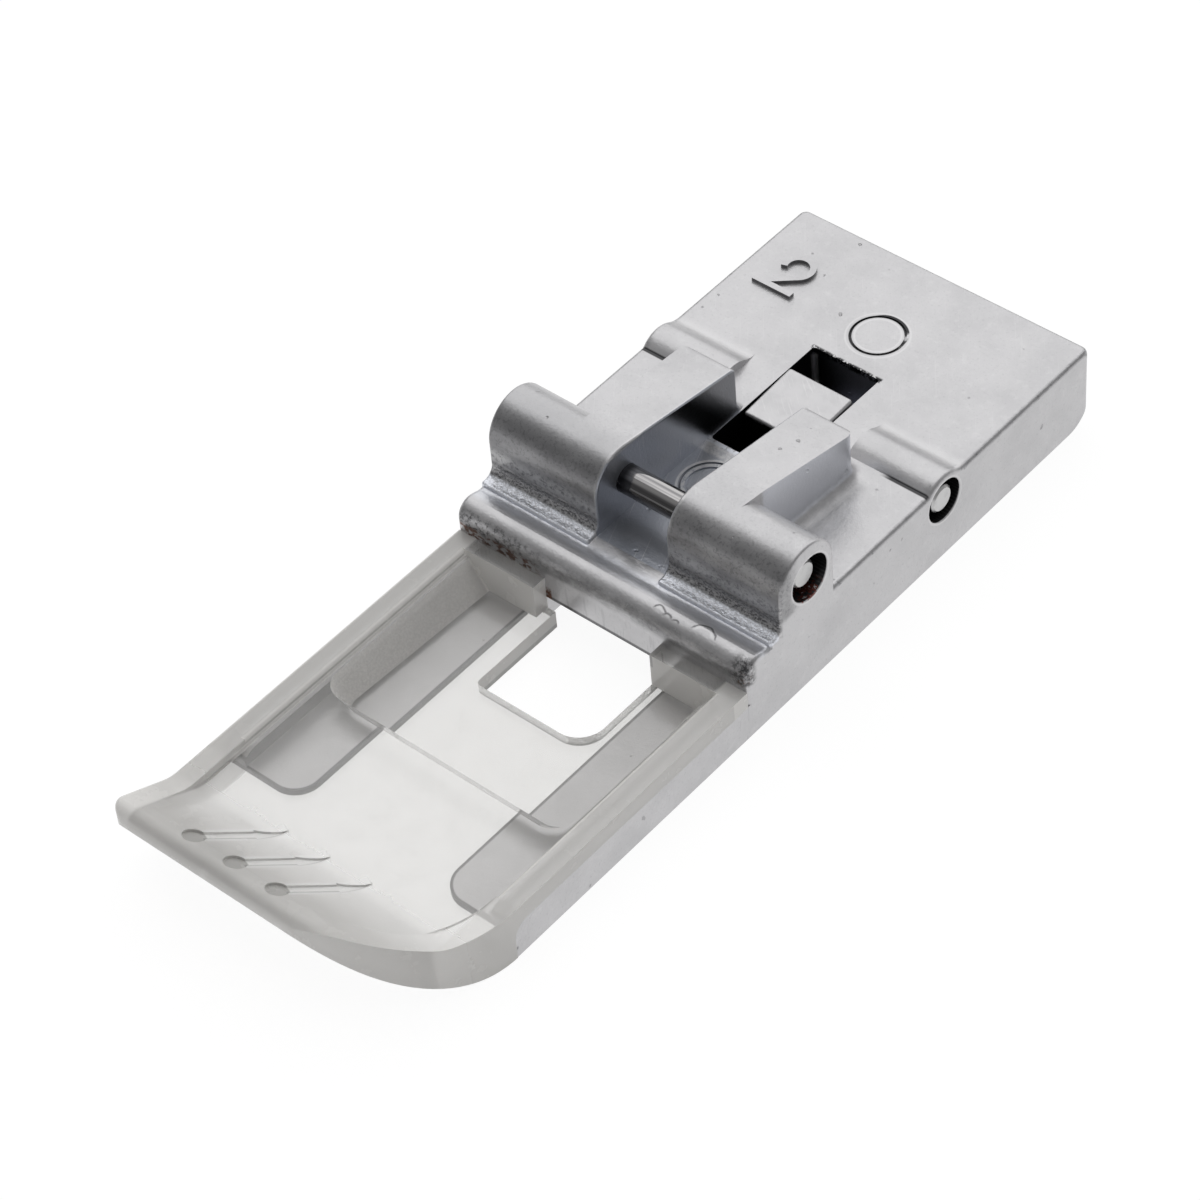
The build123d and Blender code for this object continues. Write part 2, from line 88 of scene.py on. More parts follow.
# %% A wire between nodes
class Wire:
    """A socket of a node tree that Python arithmetic works on."""

    def __init__(self, tree, socket=None):
        self.tree = tree
        self.socket = socket

    def node(self, kind, settings, inputs, output=0):
        made = self.tree.nodes.new(kind)
        for name, value in settings.items():
            setattr(made, name, value)
        for name, value in inputs.items():
            if isinstance(value, Wire):
                self.tree.links.new(value.socket, made.inputs[name])
            else:
                made.inputs[name].default_value = value
        return Wire(self.tree, made.outputs[output]) if made.outputs else None

    def maths(self, operation, *values):
        return self.node("ShaderNodeMath", {"operation": operation}, dict(enumerate(values)))

    def __add__(self, other):
        return self.maths("ADD", self, other)

    __radd__ = __add__

    def __sub__(self, other):
        return self.maths("SUBTRACT", self, other)

    def __rsub__(self, other):
        return self.maths("SUBTRACT", other, self)

    def __mul__(self, other):
        return self.maths("MULTIPLY", self, other)

    __rmul__ = __mul__

    def between(self, low, high):
        """0 at low and 1 at high, smooth in between; high may be the smaller one.

        A smooth step never leaves 0 to 1, so the node's own clamp is off. With it on, the
        casting's tree, which has hundreds of steps, grows too big and renders black.
        """
        settings = {"interpolation_type": "SMOOTHSTEP", "clamp": False}
        inputs = {"Value": self, "From Min": low, "From Max": high}
        return self.node("ShaderNodeMapRange", settings, inputs)


def mix_colour(factor, first, second):
    """The first colour where the factor is 0, the second where it is 1."""
    inputs = {0: factor, 6: first, 7: second}
    return factor.node("ShaderNodeMix", {"data_type": "RGBA"}, inputs, 2)


def new_material(name):
    material = bpy.data.materials.new(name)
    material.use_nodes = True
    material.node_tree.nodes.clear()
    return material, Wire(material.node_tree)


def finish_material(start, shader):
    start.node("ShaderNodeOutputMaterial", {}, {"Surface": shader})


print("wire ready")

# %% [markdown]
# ## Where a point is
# Most marks on this part have a place: painted shade in the slot, rust by the toe, wear on the edges.
# So each material starts from the point's place in millimetres, with the same origin as the CAD
# model, and from the way that the surface faces there.


# %% Place and facing
def stretched(place, scale):
    return place.node("ShaderNodeMapping", {}, {"Vector": place, "Scale": scale})


def axes_of(place):
    split = place.node("ShaderNodeSeparateXYZ", {}, {0: place})
    return [Wire(place.tree, output) for output in split.socket.node.outputs]


class Where:
    """Where a point of the surface is, in millimetres, and which way it faces."""

    def __init__(self, start):
        self.place = stretched(start.node("ShaderNodeTexCoord", {}, {}, 3), (1000, 1000, 1000))
        self.x, self.y, self.z = axes_of(self.place)
        self.side = self.x.maths("ABSOLUTE", self.x)
        facing = start.node("ShaderNodeTexCoord", {}, {}, 1)
        self.faces = [axis.maths("ABSOLUTE", axis) for axis in axes_of(facing)]
        self.up = self.faces[2]
        # Flat faces of this part look along an axis, and its rounded edges don't.
        flattest = self.up.maths("MAXIMUM", *self.faces[:2])
        flattest = self.up.maths("MAXIMUM", self.up, flattest)
        self.edge = flattest.between(0.995, 0.93)


def band(axis, low, high, soft=0.1):
    """1 between low and high, with soft ends."""
    return axis.between(low - soft, low + soft) * axis.between(high + soft, high - soft)


def block(where, x, y, z, soft=0.1):
    """1 inside a box; x counts from the middle to both sides."""
    return band(where.side, *x, soft) * band(where.y, *y, soft) * band(where.z, *z, soft)


def distance(first, first_at, second, second_at):
    first = first - first_at
    second = second - second_at
    return first.maths("SQRT", first * first + second * second)


print("places ready")

# %% [markdown]
# ## Patterns
# Noise gives mottling and pits. Stretched far in one direction and cut to its peaks, it gives
# straight scratches. A scanned texture would repeat and need a UV map; noise in space does not.


# %% Pattern helpers
def noise(place, scale, detail=2.0, roughness=0.5):
    inputs = {"Vector": place, "Scale": scale, "Detail": detail, "Roughness": roughness}
    return place.node("ShaderNodeTexNoise", {}, inputs)


def turned(place, x=0, y=0, z=0):
    angles = [math.radians(angle) for angle in (x, y, z)]
    return place.node("ShaderNodeMapping", {}, {"Vector": place, "Rotation": angles})


def scratches(place, length, width, amount=0.64):
    """Straight lines along the first axis; a larger amount leaves fewer."""
    lines = noise(stretched(place, (1 / length, 1 / width, 1 / width)), 1, 1)
    return lines.between(amount, amount + 0.04)


def bump(height, depth):
    """Tilts the surface as if height 1 stood depth metres above height 0."""
    return height.node("ShaderNodeBump", {}, {"Height": height, "Distance": depth})


print("patterns ready")

# %% [markdown]
# ## The casting's finish
# The body is cast in zinc, tumbled and plated, which leaves a satin skin: a metal of medium
# roughness with a fine grain, small pits and light scratches. Its rounded edges are rubbed a
# little darker. One flat colour would look like paint, so each kind of wear, and each painted
# highlight, reflection or shade, is a mask that mixes one more colour in. The colours and places
# come first, then one helper for each worn or painted place.

# %% Colours of the casting
plating = (0.57, 0.565, 0.575, 1)
plating_dull = (0.37, 0.37, 0.38, 1)
# Pale plating: scratches and mottle, and painted highlights and reflections on rims, rings and hollows.
bright_plating_and_highlight = (0.72, 0.715, 0.72, 1)
# Black: specks of soot on the lip, and painted shade in the slot, the bores, the grooves and on the
# pins and lever.
soot_and_shade = (0.014, 0.014, 0.016, 1)
# Dark grey: pits and worn edges, and painted shade in hollows, across the knuckles' front, in the dents
# and round the fork.
grime_and_shade = (0.085, 0.085, 0.09, 1)
# Painted shade in the gap between the ears, and painted sheen on the ledge, the lip's groove, the
# slot's brink and the ears' walls.
shade_blue = (0.36, 0.385, 0.44, 1)
sheen_blue = (0.84, 0.865, 0.93, 1)
rust = (0.13, 0.055, 0.03, 1)
plating_roughness = 0.35
print("casting colours ready")

# %% Places on the casting, in millimetres
knuckle_sides = (2.9, 12.5)
all_sides = (-1, 12.5)
gap_sides = (-1, 2.96)
slot_sides = (-1, 2.8)
ankle_pin_y = 0
ankle_pin_z = 8.9
ankle_bore = 1.7
lever_pin_y = 13.65
lever_pin_z = 4.73
lever_bore = 1.6
rear_ring_y = 22.2
gap_ring_y = 4.7
print("casting places ready")


# %% The skin all over
def plating_skin(where):
    mottle = noise(where.place, 0.22, 5, 0.6)
    fine = noise(where.place, 1.6, 4, 0.65)
    colour = mix_colour(mottle.between(0.35, 0.7) * 0.28, plating, plating_dull)
    colour = mix_colour(fine.between(0.5, 0.75) * 0.22, colour, bright_plating_and_highlight)
    grit = noise(where.place, 5.0, 2, 0.6)
    colour = mix_colour(grit.between(0.55, 0.75) * 0.3, colour, plating_dull)
    pits = noise(where.place, 1.35, 1).between(0.76, 0.81)
    colour = mix_colour(pits * 0.35, colour, grime_and_shade)
    lines = scratches(turned(where.place, z=52), 5, 0.09, 0.68) * where.up.between(0.9, 0.98)
    colour = mix_colour(lines * 0.18, colour, bright_plating_and_highlight)
    flank = where.faces[0].between(0.9, 0.99)
    rubs = scratches(turned(where.place, x=35), 0.3, 0.25, 0.66) * flank
    return mix_colour(rubs * 0.3, colour, plating_dull), pits


# %% Rubbed edges and a painted highlight
def edge_wear_and_highlight(where, colour):
    nicks = noise(where.place, 1.1, 4, 0.7)
    rim = where.edge * band(where.z, 5.6, 6.7, 0.1) * where.side.between(11.3, 11.6)
    colour = mix_colour(rim * (nicks.between(0.3, 0.7) * 0.5 + 0.15), colour, plating_dull)
    colour = mix_colour(rim * nicks.between(0.58, 0.7) * 0.6, colour, grime_and_shade)
    # A painted highlight along the inner top edges of the ears, by the gap.
    inner = where.edge * band(where.side, 2.8, 3.15, 0.03) * where.z.between(7.0, 7.4)
    return mix_colour(inner * 0.7, colour, bright_plating_and_highlight)


# %% [markdown]
# ## Knuckles and lip
# The front is where cloth, thread and fingers rub. The knuckles are speckled. A dark band of
# painted shade crosses their front, with a lighter painted reflection below it, their hollow foot
# is a dark rough line of painted shade over a ledge with a painted highlight, the lip's groove
# has a painted sheen, and the nose of the lip carries dark streaks. Such marks follow the shape,
# so each is a soft box in space, broken up by noise.


# %% Knuckles
def knuckle_marks(where, colour):
    speck = noise(where.place, 4.2, 3, 0.7)
    cloud = noise(stretched(where.place, (0.25, 0.5, 0.7)), 1, 3, 0.6)
    knuckle = block(where, knuckle_sides, (-3.4, 2.6), (7.3, 12.5), 0.3)
    colour = mix_colour(knuckle * speck.between(0.5, 0.7) * 0.3, colour, plating_dull)
    crown = knuckle * where.y.between(1.6, -0.6) * where.x.between(1, -4)
    colour = mix_colour(crown * 0.5, colour, plating_dull)
    # Painted shade: a dark band across the knuckles' front, broken by cloud and speckle.
    front = knuckle * where.y.between(-0.9, -2.4)
    colour = mix_colour(front * (cloud.between(0.3, 0.7) * 0.25 + 0.42), colour, grime_and_shade)
    colour = mix_colour(front * speck.between(0.5, 0.65) * 0.3, colour, grime_and_shade)
    # A painted reflection: a lighter band below the dark one.
    low = knuckle * band(where.z, 7.7, 8.6, 0.4) * where.y.between(-2.7, -2.9)
    colour = mix_colour(low * speck.between(0.65, 0.4) * 0.35, colour, bright_plating_and_highlight)
    grit = noise(stretched(where.place, (4.5, 7, 7)), 1, 3, 0.75)
    # Painted shade in the hollow foot, broken by grit.
    hollow = block(where, knuckle_sides, (-3.8, -2.9), (6.55, 7.55), 0.15)
    colour = mix_colour(hollow * (grit.between(0.4, 0.62) * 0.6 + 0.35), colour, grime_and_shade)
    # A painted highlight on the ledge, broken by grit.
    ledge = block(where, knuckle_sides, (-4.2, -3.25), (6.1, 6.66), 0.07)
    return mix_colour(ledge * (grit.between(0.62, 0.4) * 0.6 + 0.4), colour, sheen_blue)


# %% Lip
def lip_marks(where, colour):
    streak = noise(stretched(where.place, (0.45, 2.2, 1.2)), 1, 4, 0.7)
    speck = noise(where.place, 2.8, 3, 0.75)
    # A painted sheen lightens the groove in the lip.
    groove = block(where, all_sides, (-5.2, -3.9), (6.0, 6.35), 0.3)
    colour = mix_colour(groove * (streak.between(0.7, 0.25) * 0.4 + 0.4), colour, sheen_blue)
    hollow = distance(where.x, 0.6, where.y * 1.6, -4.6)
    hollow = hollow.between(2.8, 0.8) * band(where.z, 6.0, 6.35)
    colour = mix_colour(hollow * streak.between(0.25, 0.55) * 0.75, colour, grime_and_shade)
    nose = band(where.y, -7.5, -6.1, 0.1) * band(where.z, 4.75, 5.95, 0.25)
    colour = mix_colour(nose * (streak.between(0.25, 0.7) * 0.5 + 0.05), colour, grime_and_shade)
    colour = mix_colour(nose * speck.between(0.5, 0.62) * 0.15, colour, soot_and_shade)
    left = where.x.between(-3, -9)
    colour = mix_colour(nose * left * speck.between(0.45, 0.6) * 0.6, colour, soot_and_shade)
    right = where.x.between(10.2, 11.4) * band(where.y, -7.5, -5.7, 0.3) * where.z.between(4.2, 4.7)
    colour = mix_colour(right * speck.between(0.35, 0.6) * 0.8, colour, soot_and_shade)
    colour = mix_colour(nose * speck.between(0.66, 0.7) * 0.5, colour, bright_plating_and_highlight)
    chin = band(where.y, -7.5, -6.4, 0.05) * where.z.between(4.6, 4.0)
    lines = scratches(turned(where.place, y=90), 2.5, 0.2, 0.6)
    colour = mix_colour(chin * lines * 0.4, colour, plating_dull)
    brink = chin * where.side.between(5.3, 5.0) * where.z.between(2.75, 2.6)
    return mix_colour(brink * 0.85, colour, grime_and_shade)


# %% Small dents in the lip
# The middle's x and y, the radius, and how far behind the middle the drawn arc starts.
dents = (
    (4.5, -6.0, 0.5, 0.1),
    (5.2, -6.1, 0.34, 0.1),
    (5.9, -6.15, 0.3, 0.1),
    (8.0, -6.1, 0.95, 0.25),
)


# Each dent is drawn as a pale arc of painted highlight and a dark arc of painted shade.
def lip_dents(where, colour):
    wobble = (noise(where.place, 2.2, 2, 0.6) - 0.5) * 0.5
    crest = where.z.between(5.5, 5.8)
    for x_at, y_at, radius, cut in dents:
        ring = distance(where.x, x_at, where.y, y_at) + wobble * 0.5
        part = where.y.between(y_at + cut, y_at + cut + 0.2) * crest
        pale = band(ring, radius - 0.3, radius - 0.1, 0.08) * part
        colour = mix_colour(pale * 0.5, colour, bright_plating_and_highlight)
        dark = band(ring, radius - 0.06, radius + 0.06, 0.04) * part
        colour = mix_colour(dark * 0.75, colour, grime_and_shade)
    return colour


# %% [markdown]
# ## Slot, gap and holes
# Deep places get painted shade. The slot is painted black, with a lighter painted rear wall, a
# painted glint in one corner and a ragged rear edge, and the gap between the ears gets a bluish
# painted shade, long light scratches, painted highlights at the slot's brink and round its ring,
# and a black band of painted shade on its walls. The bores are painted black with a painted
# highlight round them. Shadow alone leaves them too light, because plated walls reflect the pale
# room, so they get colours.


# %% Slot and gap
def deep_places(where, colour):
    speck = noise(where.place, 3.0, 4, 0.75)
    gap = block(where, gap_sides, (-3.2, 11.2), (6.0, 11.4), 0.05)
    # Painted shade: the gap between the ears is bluish.
    colour = mix_colour(gap * 0.7, colour, shade_blue)
    floor = gap * where.up.between(0.9, 0.97)
    wall = gap * where.up.between(0.5, 0.3)
    tall_lines = scratches(turned(where.place, y=90), 7, 0.16, 0.68)
    colour = mix_colour(wall * tall_lines * 0.35, colour, bright_plating_and_highlight)
    slant = where.z + where.y * 1.22
    colour = mix_colour(wall * slant.between(18.0, 20.6) * 0.6, colour, plating_dull)
    # Painted shade: a black band on the gap's walls.
    shaded_band = slant.between(15.2, 16.8) * slant.between(20.6, 18.0)
    colour = mix_colour(wall * shaded_band * 0.98, colour, soot_and_shade)
    # Painted highlights along the gap floor's edge by the slot, and glints on its brink.
    floor_rim = block(where, slot_sides, (6.9, 8.2), (6.0, 6.3), 0.15)
    colour = mix_colour(floor_rim * (speck.between(0.35, 0.6) * 0.6 + 0.4), colour, bright_plating_and_highlight)
    brink = block(where, slot_sides, (7.75, 8.2), (6.0, 6.3), 0.12) * speck.between(0.4, 0.5)
    colour = mix_colour(brink * 0.9, colour, sheen_blue)
    long_lines = scratches(turned(where.place, z=68), 9, 0.1, 0.66)
    colour = mix_colour(floor * long_lines * 0.5, colour, bright_plating_and_highlight)
    # Painted highlights on the ring's edges and painted shade in its groove.
    ring = distance(where.x, 0, where.y, gap_ring_y)
    crisp = speck.between(0.3, 0.5)
    colour = mix_colour(floor * band(ring, 1.68, 1.92, 0.05) * crisp * 0.9, colour, bright_plating_and_highlight)
    colour = mix_colour(floor * band(ring, 2.12, 2.3, 0.05), colour, bright_plating_and_highlight)
    colour = mix_colour(floor * band(ring, 1.95, 2.08, 0.04) * 0.8, colour, grime_and_shade)
    # The slot is painted black as shade; its rear wall is painted lighter and its rear left corner gets
    # a painted glint.
    slot = band(where.side, -1, 2.79, 0.01) * band(where.y, 8.05, 18.9, 0.02)
    slot = slot * where.z.between(6.19, 6.1)
    colour = mix_colour(slot, colour, soot_and_shade)
    glimmer = slot * where.y.between(17.5, 18.5) * where.x.between(-2.6, 1.5)
    colour = mix_colour(glimmer, colour, (0.42, 0.43, 0.5, 1))
    corner = band(where.x, -2.75, -2.45, 0.1) * band(where.y, 18.5, 19, 0.1) * where.z.between(5.9, 5.5)
    colour = mix_colour(corner, colour, bright_plating_and_highlight)
    rear = band(where.side, -1, 2.9, 0.08) * band(where.y, 18.6, 19.02, 0.1)
    return mix_colour(rear * speck.between(0.42, 0.5) * where.z.between(5.6, 5.9), colour, soot_and_shade)


# %% Pin holes
def pin_holes(where, colour):
    bores = ((ankle_pin_y, ankle_pin_z, ankle_bore), (lever_pin_y, lever_pin_z, lever_bore))
    for y_at, z_at, radius in bores:
        # The bores are painted black as shade, with a painted highlight round each.
        ring = distance(where.y, y_at, where.z, z_at)
        bore = ring.between(radius + 0.03, radius - 0.01) * where.side.between(9.5, 9.7)
        bore = bore * where.side.between(11.98, 11.9)
        colour = mix_colour(bore, colour, soot_and_shade)
        halo = band(ring, radius + 0.05, radius + 0.2, 0.05) * where.side.between(11.8, 11.85)
        colour = mix_colour(halo * 0.5, colour, bright_plating_and_highlight)
    residue = block(where, (10.4, 12.1), (-0.9, 1.2), (6.9, 8.0), 0.15) * where.x.between(0, 1)
    ring = distance(where.y, ankle_pin_y, where.z, ankle_pin_z)
    residue = residue * ring.between(ankle_bore + 0.1, ankle_bore + 0.02)
    spots = noise(where.place, 2.4, 3, 0.6)
    colour = mix_colour(residue * spots.between(0.45, 0.52) * 0.9, colour, (0.22, 0.06, 0.045, 1))
    return mix_colour(residue * spots.between(0.58, 0.62), colour, bright_plating_and_highlight)


# %% [markdown]
# ## Marks on the plate
# The rings and the numeral are real steps in the mesh, and painted shade and highlights are
# drawn here along the same lines: black in the round mark's groove with pale rings beside it,
# black on the raised numeral's upright walls and a painted shadow along the front foot of the
# beads. The ears' outer walls get a pale painted sheen over a rough foot, and the hollow behind
# the beads a painted highlight. Rust has started where the toe meets the lip.


# %% Marks on the plate
def plate_marks(where, colour):
    top = where.z.between(5.9, 6.0) * where.z.between(6.3, 6.22)
    ring = distance(where.x, 0, where.y, rear_ring_y)
    blotches = noise(where.place, 0.8, 3, 0.6)
    # Painted shade in the round mark's groove, broken up by noise, and painted highlights beside it.
    thick = (where.x * 0.35 + where.y - rear_ring_y).between(0.9, 2.0) * 0.14
    line = ring.between(1.72, 1.78) * (ring - thick).between(1.99, 1.93)
    colour = mix_colour(top * line * blotches.between(0.3, 0.45) * 0.95, colour, soot_and_shade)
    colour = mix_colour(top * band(ring, 2.12, 2.24, 0.06) * 0.5, colour, bright_plating_and_highlight)
    colour = mix_colour(top * band(ring, 1.5, 1.64, 0.05) * 0.5, colour, bright_plating_and_highlight)
    # Painted shade on the numeral's upright walls.
    numeral = band(where.x, -10.2, -6.3) * band(where.y, 21, 26) * band(where.z, 6.19, 6.44, 0.02)
    colour = mix_colour(numeral * where.up.between(0.7, 0.3) * (blotches * 0.6 + 0.35), colour, soot_and_shade)
    # A painted shadow along the front foot of the beads.
    foot = band(where.y, 11.86, 12.16, 0.05) * where.z.between(6.75, 6.25) * where.z.between(6.0, 6.1)
    outer = where.side.between(8.0, 9.0) * where.side.between(11.95, 11.8)
    return mix_colour(foot * outer * 0.9, colour, soot_and_shade)


# %% Ears and beads
def ear_foot(where):
    return block(where, (6.7, 8.2), (2.6, 10.5), (6.0, 7.3), 0.5)


def ear_marks(where, colour):
    # A pale painted sheen on the ears' outer walls.
    wall = block(where, (6.2, 7.2), (2.2, 11.4), (6.7, 11.5), 0.2) * where.up.between(0.6, 0.3)
    colour = mix_colour(wall * 0.75, colour, sheen_blue)
    # A painted highlight in the hollow behind the beads.
    hollow = block(where, (5.4, 12.1), (14.8, 15.9), (6.1, 6.7), 0.4)
    colour = mix_colour(hollow * 0.6, colour, bright_plating_and_highlight)
    foot = ear_foot(where) * noise(where.place, 1.2, 3, 0.6).between(0.2, 0.7)
    return mix_colour(foot * 0.45, colour, plating_dull)


# %% Rust
def rust_marks(where, colour):
    flakes = noise(stretched(where.place, (0.9, 1, 1.4)), 1.7, 4, 0.7)
    joint = band(where.y, -7, -6.4, 0.05) * band(where.z, 3.9, 4.95, 0.2) * where.x.between(-4.4, -6)
    colour = mix_colour(joint * flakes.between(0.45, 0.56) * 0.9, colour, rust)
    post = band(where.y, -7, -6.4, 0.05) * band(where.x, -4.7, -4.1, 0.1) * band(where.z, 1.9, 3.3, 0.2)
    colour = mix_colour(post * flakes.between(0.35, 0.5), colour, rust)
    right_end = distance(where.x, 11.6, where.z, 5.0)
    spot = right_end.between(0.7, 0.3) * band(where.y, -7, -5.9, 0.1)
    return mix_colour(spot * flakes.between(0.5, 0.62) * 0.7, colour, rust)


# %% [markdown]
# ## The fork under the toe
# The two prongs are seen through the plastic. Their upright edges, in shade, look like thin dark
# outlines, and the shaded inside of each low wall is a dark grey band. Both are painted shade in
# the metal's colour, and they follow the prongs' own rims, so the corner's place and radius are
# given first. The prongs' outer sides get a painted light.


# %% The fork
prong_corner_side = 7.65
prong_corner_y = -26.7
prong_corner_radius = 1.9


def fork_marks(where, colour):
    fork = band(where.y, -29, -6.6, 0.05)
    # A painted light on the prongs' outer sides.
    colour = mix_colour(fork * where.side.between(11.8, 11.6) * 0.5, colour, bright_plating_and_highlight)
    upright = where.up.between(0.6, 0.4)
    # Painted shade on the upright edges, inside the low walls and along the round rim.
    outline = fork * upright * where.z.between(0.85, 0.8) * where.side.between(11.6, 11.5)
    colour = mix_colour(outline * 0.9, colour, grime_and_shade)
    wall = fork * upright * where.z.between(0.85, 0.95) * where.side.between(11.5, 11.3)
    colour = mix_colour(wall * 0.75, colour, grime_and_shade)
    over_side = where.side.maths("MAXIMUM", prong_corner_side - where.side, 0)
    over_front = where.y.maths("MAXIMUM", prong_corner_y - where.y, 0)
    inset = prong_corner_radius - distance(over_side, 0, over_front, 0)
    rim = fork * inset.between(0.26, 0.12) * band(where.z, 0.7, 0.9)
    return mix_colour(rim * 0.8, colour, grime_and_shade)


# %% Put the casting's finish together
def plated_casting():
    material, start = new_material("plated_casting")
    where = Where(start)
    colour, pits = plating_skin(where)
    for add_marks in (
        edge_wear_and_highlight,
        ear_marks,
        knuckle_marks,
        lip_marks,
        lip_dents,
        plate_marks,
        fork_marks,
        deep_places,
        pin_holes,
        rust_marks,
    ):
        colour = add_marks(where, colour)
    grain = noise(where.place, 4.2, 3, 0.65)
    rough_foot = block(where, knuckle_sides, (-4.2, -2.9), (6.1, 7.5), 0.15)
    rough_nose = band(where.y, -7.5, -5.9, 0.2) * band(where.z, 4.6, 6.2, 0.3)
    coarse = noise(where.place, 2.6, 3, 0.75)
    soft_foot = ear_foot(where)
    height = grain * (0.35 + soft_foot * 0.5) - pits * 0.8
    height = height + coarse * (rough_foot * 2.2 + rough_nose * 0.9)
    mottle = noise(where.place, 0.3, 4, 0.6)
    inputs = {
        "Base Color": colour,
        "Metallic": 0.85,
        "Roughness": plating_roughness + (mottle - 0.5) * 0.16 + soft_foot * 0.3,
        "Normal": bump(height, 0.00005),
    }
    finish_material(start, start.node("ShaderNodeBsdfPrincipled", {}, inputs))
    return material


def dress(node, material):
    nodes[node].data.materials.clear()
    nodes[node].data.materials.append(material)


dress("foot_body", plated_casting())
print("casting done")

# %% [markdown]
# ## Pins, lever and spring
# The pins are drawn steel: darker than the plating, with fine lines along them, which is noise
# stretched along the pin. Their ends are cut flat and bright. A dark band along each pin's
# underside and its dark end by the left ear are painted shade. The lever carries the casting's
# plating, with its front and rear walls painted black as shade, and the spring is dark wire.


# %% Steel pins
def pin_steel():
    material, start = new_material("pin_steel")
    where = Where(start)
    drawn = noise(stretched(where.place, (0.1, 6, 6)), 1, 2, 0.5)
    colour = mix_colour(drawn.between(0.35, 0.7), (0.44, 0.43, 0.43, 1), (0.24, 0.235, 0.24, 1))
    # Painted shade: a dark band along the pin's underside, away from the lamp.
    towards_lamp = where.y * 0.82 + (where.z - ankle_pin_z) * 0.57
    under = towards_lamp.between(0.05, -0.3) * towards_lamp.between(-0.95, -0.75)
    colour = mix_colour(under * 0.8, colour, soot_and_shade)
    # Painted shadow: the pin's end by the left ear is dark.
    shadow = where.x.between(-1.9, -2.6)
    colour = mix_colour(shadow * 0.9, colour, soot_and_shade)
    worn = noise(where.place, 1.4, 3, 0.6)
    end = where.side.between(11.0, 11.2)
    colour = mix_colour(end, colour, (0.60, 0.60, 0.60, 1))
    colour = mix_colour(end * worn.between(0.45, 0.75) * 0.4, colour, plating_dull)
    inputs = {
        "Base Color": colour,
        "Metallic": 1.0,
        "Roughness": end * 0.3 + 0.1 + (drawn - 0.5) * 0.08,
        "Normal": bump(drawn, 0.000004),
    }
    finish_material(start, start.node("ShaderNodeBsdfPrincipled", {}, inputs))
    return material


# %% Lever
def lever_steel():
    material, start = new_material("lever_steel")
    where = Where(start)
    mottle = noise(where.place, 0.8, 4, 0.6)
    colour = mix_colour(mottle.between(0.4, 0.7) * 0.2, plating, plating_dull)
    lines = scratches(turned(where.place, z=40), 3, 0.08, 0.64)
    colour = mix_colour(lines * 0.3, colour, bright_plating_and_highlight)
    # Painted shade: the lever's walls below its top are black.
    walls = where.z.between(6.1, 5.9)
    colour = mix_colour(walls, colour, soot_and_shade)
    rim = band(where.z, 5.85, 6.1, 0.05) * noise(where.place, 3, 3, 0.7).between(0.5, 0.6)
    colour = mix_colour(rim * 0.7, colour, plating_dull)
    inputs = {
        "Base Color": colour,
        "Metallic": 0.85,
        "Roughness": plating_roughness + (mottle - 0.5) * 0.1,
        "Normal": bump(noise(where.place, 4.2, 3, 0.65), 0.000018),
    }
    finish_material(start, start.node("ShaderNodeBsdfPrincipled", {}, inputs))
    return material


# %% Spring wire
def spring_steel():
    material, start = new_material("spring_steel")
    where = Where(start)
    stain = noise(where.place, 2.5, 3, 0.6)
    colour = mix_colour(stain, (0.30, 0.30, 0.31, 1), (0.16, 0.15, 0.15, 1))
    inputs = {
        "Base Color": colour,
        "Metallic": 1.0,
        "Roughness": 0.3 + stain * 0.15,
        "Normal": bump(stain, 0.000006),
    }
    finish_material(start, start.node("ShaderNodeBsdfPrincipled", {}, inputs))
    return material


pins = pin_steel()
dress("ankle_pin", pins)
dress("lever_pin", pins)
dress("levelling_lever", lever_steel())
dress("lever_spring", spring_steel())
print("steel done")

# %% [markdown]
# ## The clear toe
# The toe is clear plastic that has gone a little milky. Clear plastic bends the light that
# passes, which draws the lines along its steps. A milky shader is mixed in: thinly on the flat
# tray, more on upright walls, most in the thick turned-up front and in the engraved marks. The
# marks' grey lines and eyes, grey lines along the window's edges and dark streaks on the front
# are painted shade, and the pale fill beside the marks' lines is a painted highlight.


# %% Needle marks in the toe
needle_pitch = 3.45
needle_start_y = -31.6
needle_lean = math.radians(30.0)
needle_head = 2.1
needle_shank = 5.2
needle_eye = 5.7


def needle_marks(where):
    """The marks' grey lines and eyes as painted shade, and their pale fill as painted highlight."""
    marks = None
    fills = None
    for column in (-1, 0, 1):
        x = where.x - column * needle_pitch
        y = where.y - needle_start_y
        along = x * -math.sin(needle_lean) - y * math.cos(needle_lean)
        across = x * math.cos(needle_lean) - y * math.sin(needle_lean)
        width = across.maths("ABSOLUTE", across)
        head = band(along, 0, needle_head, 0.05) * band(across - along * 0.25, -0.15, 0.02, 0.05)
        shank = band(along, needle_head, needle_shank, 0.05) * band(across, 0.12, 0.42, 0.08)
        eye = distance(along, needle_eye, across, 0).between(0.8, 0.65)
        mark = head * 0.5 + shank * 0.8 + eye * 0.8
        marks = mark if marks is None else marks.maths("MAXIMUM", marks, mark)
        fill = band(along, 0.1, needle_shank - 0.1, 0.1) * width.between(0.7, 0.6)
        fills = fill if fills is None else fills.maths("MAXIMUM", fills, fill)
    engraved = where.y.between(-31, -31.3) * where.z.between(3.0, 3.3)
    return marks * engraved, fills * engraved


